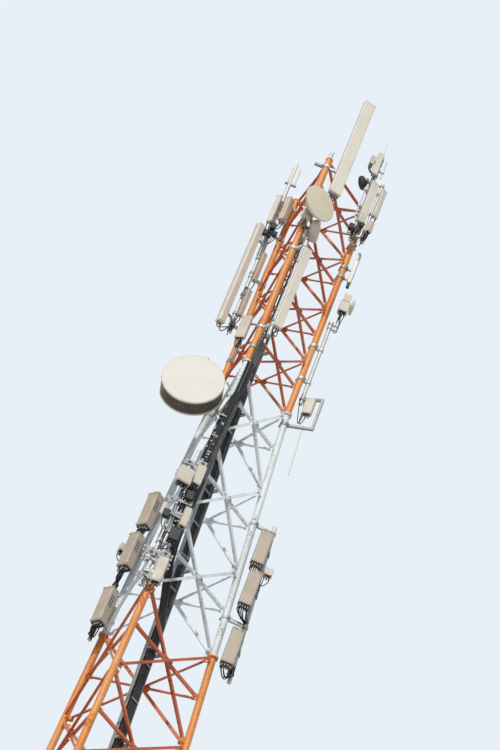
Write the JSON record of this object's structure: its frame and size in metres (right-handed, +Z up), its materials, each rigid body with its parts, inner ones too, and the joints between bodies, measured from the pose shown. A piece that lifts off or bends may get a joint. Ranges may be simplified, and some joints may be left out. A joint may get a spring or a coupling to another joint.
{
  "type": "lattice cell tower",
  "caption": "Tall triangular lattice tower in orange and white bands, carrying panel, drum and dish antennas, radio units, a cable ladder and feeder cables.",
  "frame": {"origin": "underside of the near leg's base plate, at the middle of the plate", "axes": "+Z up; +X to the right and +Y away, as seen from outside the near leg: the other two legs stand at +Y"},
  "size_m": [4.32, 3.7975, 34.04],
  "materials": {
    "leg_orange": "faded, worn paint",
    "leg_white": "weathered paint with rust streaks",
    "bracing_orange": "faded, rusty paint",
    "bracing_white": "weathered paint with rust at the joints",
    "galvanised": "dull galvanised",
    "radome": "satin, sun-bleached",
    "radome_beige": "satin",
    "antenna_metal": "matt, stained",
    "drum_wall": "matt, streaked",
    "radio_housing": "powder coat",
    "equipment_box": "powder coat",
    "cable_black": "matt"
  },
  "bodies": {
    "root": {"base_plates": "galvanised", "legs_section_1": "leg_orange", "bracing_front_right_1": "bracing_orange", "bracing_rear_1": "bracing_orange", "bracing_front_left_1": "bracing_orange", "legs_section_2": "leg_white", "bracing_front_right_2": "bracing_white", "bracing_rear_2": "bracing_white", "bracing_front_left_2": "bracing_white", "legs_section_3": "leg_orange", "bracing_front_right_3": "bracing_orange", "bracing_rear_3": "bracing_orange", "bracing_front_left_3": "bracing_orange", "legs_section_4": "leg_white", "bracing_front_right_4": "bracing_white", "bracing_rear_4": "bracing_white", "bracing_front_left_4": "bracing_white", "legs_section_5": "leg_orange", "bracing_front_right_5": "bracing_orange", "bracing_rear_5": "bracing_orange", "bracing_front_left_5": "bracing_orange", "legs_section_6": "leg_white", "bracing_front_right_6": "bracing_white", "bracing_rear_6": "bracing_white", "bracing_front_left_6": "bracing_white", "legs_section_7": "leg_orange", "bracing_front_right_7": "bracing_orange", "bracing_rear_7": "bracing_orange", "bracing_front_left_7": "bracing_orange", "drum_antenna": "drum_wall", "drum_antenna_cover": "radome", "round_antennas": "antenna_metal", "round_antenna_covers": "radome", "antenna_hub_brackets": "galvanised", "mounting_pipes": "galvanised", "panel_antenna_top": "radome", "panel_antenna_front": "radome", "panel_antenna_left": "radome", "panel_antennas_beige": "radome_beige", "panel_antennas_upper": "radome", "radio_units_left": "radio_housing", "radio_units_right": "radio_housing", "equipment_boxes": "equipment_box", "panel_brackets": "galvanised", "radio_brackets": "galvanised", "box_brackets": "galvanised", "standoff_arms": "galvanised", "side_frame": "galvanised", "cable_ladder": "galvanised", "cable_hangers": "galvanised", "whip_antennas": "radome", "feeder_cables": "cable_black", "leg_cables": "cable_black"}
  },
  "joints": []
}
